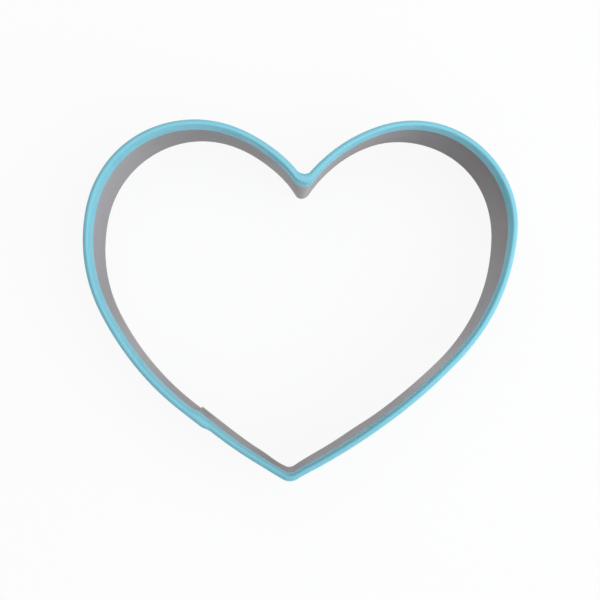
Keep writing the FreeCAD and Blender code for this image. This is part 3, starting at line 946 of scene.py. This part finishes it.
class CUTTER_OT_band(Operator):
    """Bend the steel strip into the heart and lap its ends"""
    bl_idname = "cutter.band"
    bl_label = "Bend Steel Strip"

    def execute(self, context):
        settings = context.scene.cookie_cutter
        heart = middle_line(settings)
        origin = TrimRings(settings).origin
        points, headings = self.line(settings.strip, heart)
        points += origin
        across, up = self.section(settings)
        reach = self.buckle(settings.strip, heart, points, up) + across
        outward = np.stack((np.sin(headings), -np.cos(headings)), axis=1)
        sections = np.empty((len(points), len(up), 3))
        sections[..., :2] = points[:, None] + reach[..., None] * outward[:, None]
        sections[..., 2] = up
        weld_reach = self.press_welds(settings, heart, origin, sections)
        # Painted light and shade on the steel, brighter or darker in places round the heart
        painted_light = 1 + swing(settings.steel, PAINTED_LIGHT_PLACES, sections)
        lean_out(settings, sections)
        mesh = swept_mesh("steel_strip", sections, closed=False)
        mark_points(mesh, "weld_reach", weld_reach)
        mark_points(mesh, "painted_light", painted_light)
        finish_piece(mesh, strip_steel(settings), "cutter_band")
        return {"FINISHED"}

    def line(self, strip, heart):
        """Points and headings along the strip, from its inner end round to its outer end."""
        ply = (heart.ply_flat, 0.0)
        runs = [ply] + heart.runs + [ply]
        counts = section_counts(runs, strip.spacing)
        counts[0] = counts[-1] = math.ceil(heart.ply_flat / strip.fine_spacing)
        points, headings = trace(heart.foot - heart.ply_flat * heart.down, heart.heading, runs, counts)
        end = heart.top + heart.ply_flat * heart.down
        return np.concatenate((points, end[None])), np.concatenate((headings, [heart.heading]))

    def buckle(self, strip, heart, points, up):
        """How far the strip waves out, along it and up it. It is flat at the lap."""
        along = lengths_along(points)
        from_end = np.minimum(along, along[-1] - along)
        free = np.clip((from_end - heart.lap_flat) / heart.lap_flat, 0, 1)
        wave = strip.buckle * free * np.sin(math.tau * along / strip.buckle_pitch)
        return wave[:, None] * np.sin(math.pi * up / strip.height)

    def section(self, settings):
        """Points round the strip's section: across it, and up it. The second half mirrors the first."""
        strip, welds = settings.strip, settings.welds
        radius, half = strip.edge_radius, strip.thickness / 2
        margin = CLEAR_OF_EDGE * radius
        rows = set(np.linspace(margin, strip.height - margin, math.ceil(strip.height / strip.row_spacing)))
        for number in range(welds.count):
            middle = welds.low_height + number * welds.pitch
            rows |= set(np.arange(middle - welds.diameter, middle + welds.diameter, strip.fine_spacing))
        turns = quarter(EDGE_STEPS)
        low_across, low_up = half - radius * (1 - np.sin(turns)), radius * (1 - np.cos(turns))
        face = np.array(sorted(rows))
        across = np.concatenate((low_across, np.full(len(face), half), low_across[::-1]))
        up = np.concatenate((low_up, face, strip.height - low_up[::-1]))
        return np.concatenate((across, -across[::-1])), np.concatenate((up, up[::-1]))

    def press_welds(self, settings, heart, origin, sections):
        """Presses the welds' marks into the lap's two faces, and gives the distance to the nearest weld."""
        strip, welds = settings.strip, settings.welds
        radius = welds.diameter / 2
        offset = sections[..., :2] - lap_middle(heart, origin)
        through = offset @ heart.inward
        along = offset @ heart.down
        at_lap = np.abs(through) < LAP_REACH * strip.thickness
        nearest = np.full(through.shape, strip.height)
        for number in range(welds.count):
            aside = np.hypot(along, sections[..., 2] - welds.low_height - number * welds.pitch)
            nearest = np.where(at_lap, np.minimum(nearest, aside), nearest)
        inside = np.clip((DENT_REACH * radius - nearest) / (DENT_SLOPE * radius), 0, 1)
        pressed = welds.dent * smooth(inside)
        raised = welds.ridge * np.exp(-((nearest - RIDGE_REACH * radius) / (RIDGE_WIDTH * radius)) ** 2)
        on_outside = np.abs(through) > strip.thickness / 2
        depth = np.where(on_outside, pressed - raised, 0.0) * -np.sign(through)
        sections[..., :2] += depth[..., None] * heart.inward
        return nearest


class CUTTER_OT_welds(Operator):
    """Set the spot welds through the lap"""
    bl_idname = "cutter.welds"
    bl_label = "Set Spot Welds"

    def execute(self, context):
        settings = context.scene.cookie_cutter
        strip, welds = settings.strip, settings.welds
        heart = middle_line(settings)
        middle = lap_middle(heart, TrimRings(settings).origin)
        edge = strip.thickness + strip.lap_gap / 2 - welds.dent + welds.proud
        radius = welds.diameter / 2
        outline = [(radius * out, edge - welds.bowl * (1 - rise)) for out, rise in WELD_FACE]
        outline += [(out, -through) for out, through in reversed(outline)]
        work = bmesh.new()
        for number in range(welds.count):
            self.add_weld(work, settings, heart, middle, outline, welds.low_height + number * welds.pitch)
        mesh = mesh_of(work, "weld_marks")
        finish_piece(mesh, weld_steel(settings), "spot_welds")
        return {"FINISHED"}

    def add_weld(self, work, settings, heart, middle, outline, height):
        """Turns the outline about the weld's axis."""
        turns = np.linspace(0, math.tau, WELD_STEPS, endpoint=False)
        rings = []
        for out, through in outline:
            points = np.empty((WELD_STEPS, 3))
            points[:, :2] = middle + through * heart.inward + out * np.cos(turns)[:, None] * heart.down
            points[:, 2] = height + out * np.sin(turns)
            lean_out(settings, points)
            rings.append([work.verts.new(point) for point in points])
        for low, high in zip(rings, rings[1:]):
            for number in range(WELD_STEPS):
                beside = (number + 1) % WELD_STEPS
                work.faces.new((low[number], low[beside], high[beside], high[number]))
        work.faces.new(rings[0])
        work.faces.new(rings[-1])


class CUTTER_OT_trim(Operator):
    """Slip the soft trim over the strip's top edge"""
    bl_idname = "cutter.trim"
    bl_label = "Slip On Trim"

    def execute(self, context):
        settings = context.scene.cookie_cutter
        trim = settings.trim
        rings = TrimRings(settings)
        across = rings.outer - rings.inner
        across /= np.linalg.norm(across, axis=1)[:, None]
        lip = self.lip(settings, rings)
        outer_bead = (trim.outer_width, trim.outer_height)
        inner_bead = (trim.inner_width, trim.inner_height)
        columns = self.half(settings, rings.outer, rings.slot_outer, across, lip, outer_bead)
        columns += self.half(settings, rings.inner, rings.slot_inner, -across, lip, inner_bead)[::-1]
        sections = np.empty((len(lip), len(columns), 3))
        for number, (points, level) in enumerate(columns):
            sections[:, number, :2] = points + rings.origin
            sections[:, number, 2] = level
        # Painted light and shade on the plastic, paler or darker in places round the heart
        plastic_painted_light = 1 + swing(settings.plastic, PLASTIC_PAINTED_LIGHT_PLACES, sections)
        lean_out(settings, sections)
        mesh = swept_mesh("soft_trim", sections, closed=True)
        mark_points(mesh, "plastic_painted_light", plastic_painted_light)
        finish_piece(mesh, sky_blue_plastic(settings), "rim_trim")
        return {"FINISHED"}

    def lip(self, settings, rings):
        """Level of the lips along the trim, with two small waves, a tilt and slow rises."""
        trim = settings.trim
        along = lengths_along(rings.outer)
        turns = math.ceil(along[-1] / trim.lip_pitch) * math.tau * along / along[-1]
        waves = np.sin(turns) + SECOND_WAVE * np.sin(2 * turns + SECOND_WAVE_START)
        level = settings.strip.height + trim.crown - trim.depth + trim.lip_wave * waves / 2
        level += trim.lip_tilt * rings.outer[:, 0] / rings.outer[:, 0].max()
        return level + swing(settings.lips, LIP_PLACES, rings.outer + rings.origin)

    def half(self, settings, face, slot, across, lip, bead):
        """Columns of points from the slot's ceiling down, round the lip, up the face and on to the crown."""
        trim, ceiling = settings.trim, settings.strip.height
        radius = trim.lip_radius
        foot = lip + radius
        bead_width, bead_height = bead
        bead_foot = ceiling + trim.crown - bead_height
        turns = quarter(LIP_STEPS)
        rounding = [(radius * (1 - math.cos(turn)), foot - radius * math.sin(turn)) for turn in turns]
        columns = [(slot, np.full(len(slot), ceiling))]
        columns += [(slot, foot + row * (ceiling - foot)) for row in SLOT_ROWS]
        columns += [(slot + inset * across, level) for inset, level in rounding]
        columns += [(face - inset * across, level) for inset, level in reversed(rounding)]
        columns += [(face, foot + row * (bead_foot - foot)) for row in FACE_ROWS]
        for turn in quarter(BEAD_STEPS):
            inset = bead_width * (1 - math.cos(turn))
            level = bead_foot + bead_height * math.sin(turn)
            columns.append((face - inset * across, np.full(len(face), level)))
        return columns


class CUTTER_OT_stage(Operator):
    """Set up the pale floor, the backdrop, the soft lamps and the camera"""
    bl_idname = "cutter.stage"
    bl_label = "Set Stage"

    def execute(self, context):
        stage = context.scene.cookie_cutter.stage
        context.scene.view_settings.view_transform = "Standard"
        self.floor(stage)
        self.sky(context.scene, stage)
        self.lamp("top_lamp", stage.top_place, stage.top_width, stage.top_power, stage.top_colour)
        self.lamp("side_lamp", stage.side_place, stage.side_width, stage.side_power, stage.side_colour)
        camera = add_object("camera", bpy.data.cameras.new("camera"))
        camera.data.lens = stage.lens
        camera.data.clip_start = MM
        camera.location = stage.camera_place
        camera.rotation_euler = (stage.camera_pitch, stage.camera_roll, 0.0)
        context.scene.camera = camera
        return {"FINISHED"}

    def floor(self, stage):
        work = bmesh.new()
        bmesh.ops.create_circle(work, cap_ends=True, segments=FLOOR_STEPS, radius=stage.floor_radius)
        mesh = mesh_of(work, "floor")
        mesh.materials.append(pale_floor(stage))
        floor = add_object("floor", mesh)

    def sky(self, scene, stage):
        """Soft light from all round, and a plain backdrop that turns darker on the far side."""
        world = bpy.data.worlds.new("studio")
        world.use_nodes = True
        scene.world = world
        tree = world.node_tree
        tree.nodes.clear()
        ways = {0: node(tree, "ShaderNodeTexCoord").outputs["Generated"], 1: stage.far_way}
        farness = node(tree, "ShaderNodeVectorMath", ways, operation="DOT_PRODUCT").outputs["Value"]
        tone = blend(tree, remap(tree, farness, *FAR_EDGE), stage.sky_colour, stage.far_colour)
        light = {"Color": paint(stage.sky_colour), "Strength": stage.sky_level}
        soft = node(tree, "ShaderNodeBackground", light).outputs[0]
        plain = node(tree, "ShaderNodeBackground", {"Color": tone, "Strength": 1.0}).outputs[0]
        mixed = node(tree, "ShaderNodeMixShader", {0: seen_directly(tree), 1: soft, 2: plain})
        node(tree, "ShaderNodeOutputWorld", {"Surface": mixed.outputs[0]})

    def lamp(self, name, spot, width, watts, light):
        """A square lamp that faces the cutter."""
        data = bpy.data.lights.new(name, "AREA")
        data.energy = watts
        data.color = light
        data.size = width
        lamp = add_object(name, data)
        lamp.location = spot
        lamp.rotation_mode = "QUATERNION"
        lamp.rotation_quaternion = (-Vector(spot)).to_track_quat("-Z", "Y")


class CUTTER_PT_panel(Panel):
    """The cutter's steps and sizes"""
    bl_idname = "CUTTER_PT_panel"
    bl_label = "Cookie Cutter"
    bl_space_type = "VIEW_3D"
    bl_region_type = "UI"
    bl_category = "Cutter"

    def draw(self, context):
        for step in STEPS:
            self.layout.operator(step.bl_idname)
        settings = context.scene.cookie_cutter
        for name in CutterSettings.__annotations__:
            group = getattr(settings, name)
            box = self.layout.box()
            box.label(text=type(group).__doc__)
            for size in type(group).__annotations__:
                box.prop(group, size)


GROUPS = (
    StripSizes, CornerSizes, LeftBends, RightBends, LeanSizes, TrimSizes, LipSizes, WeldSizes, SteelFinish,
    PlasticFinish, StageSizes, CutterSettings)
STEPS = (CUTTER_OT_band, CUTTER_OT_welds, CUTTER_OT_trim, CUTTER_OT_stage)
CLASSES = GROUPS + STEPS + (CUTTER_PT_panel,)


def register():
    for item in CLASSES:
        bpy.utils.register_class(item)
    bpy.types.Scene.cookie_cutter = PointerProperty(type=CutterSettings)


def unregister():
    del bpy.types.Scene.cookie_cutter
    for item in reversed(CLASSES):
        bpy.utils.unregister_class(item)


def main():
    register()
    bpy.ops.cutter.band()
    bpy.ops.cutter.welds()
    bpy.ops.cutter.trim()
    bpy.ops.cutter.stage()


if __name__ == "__main__":
    main()
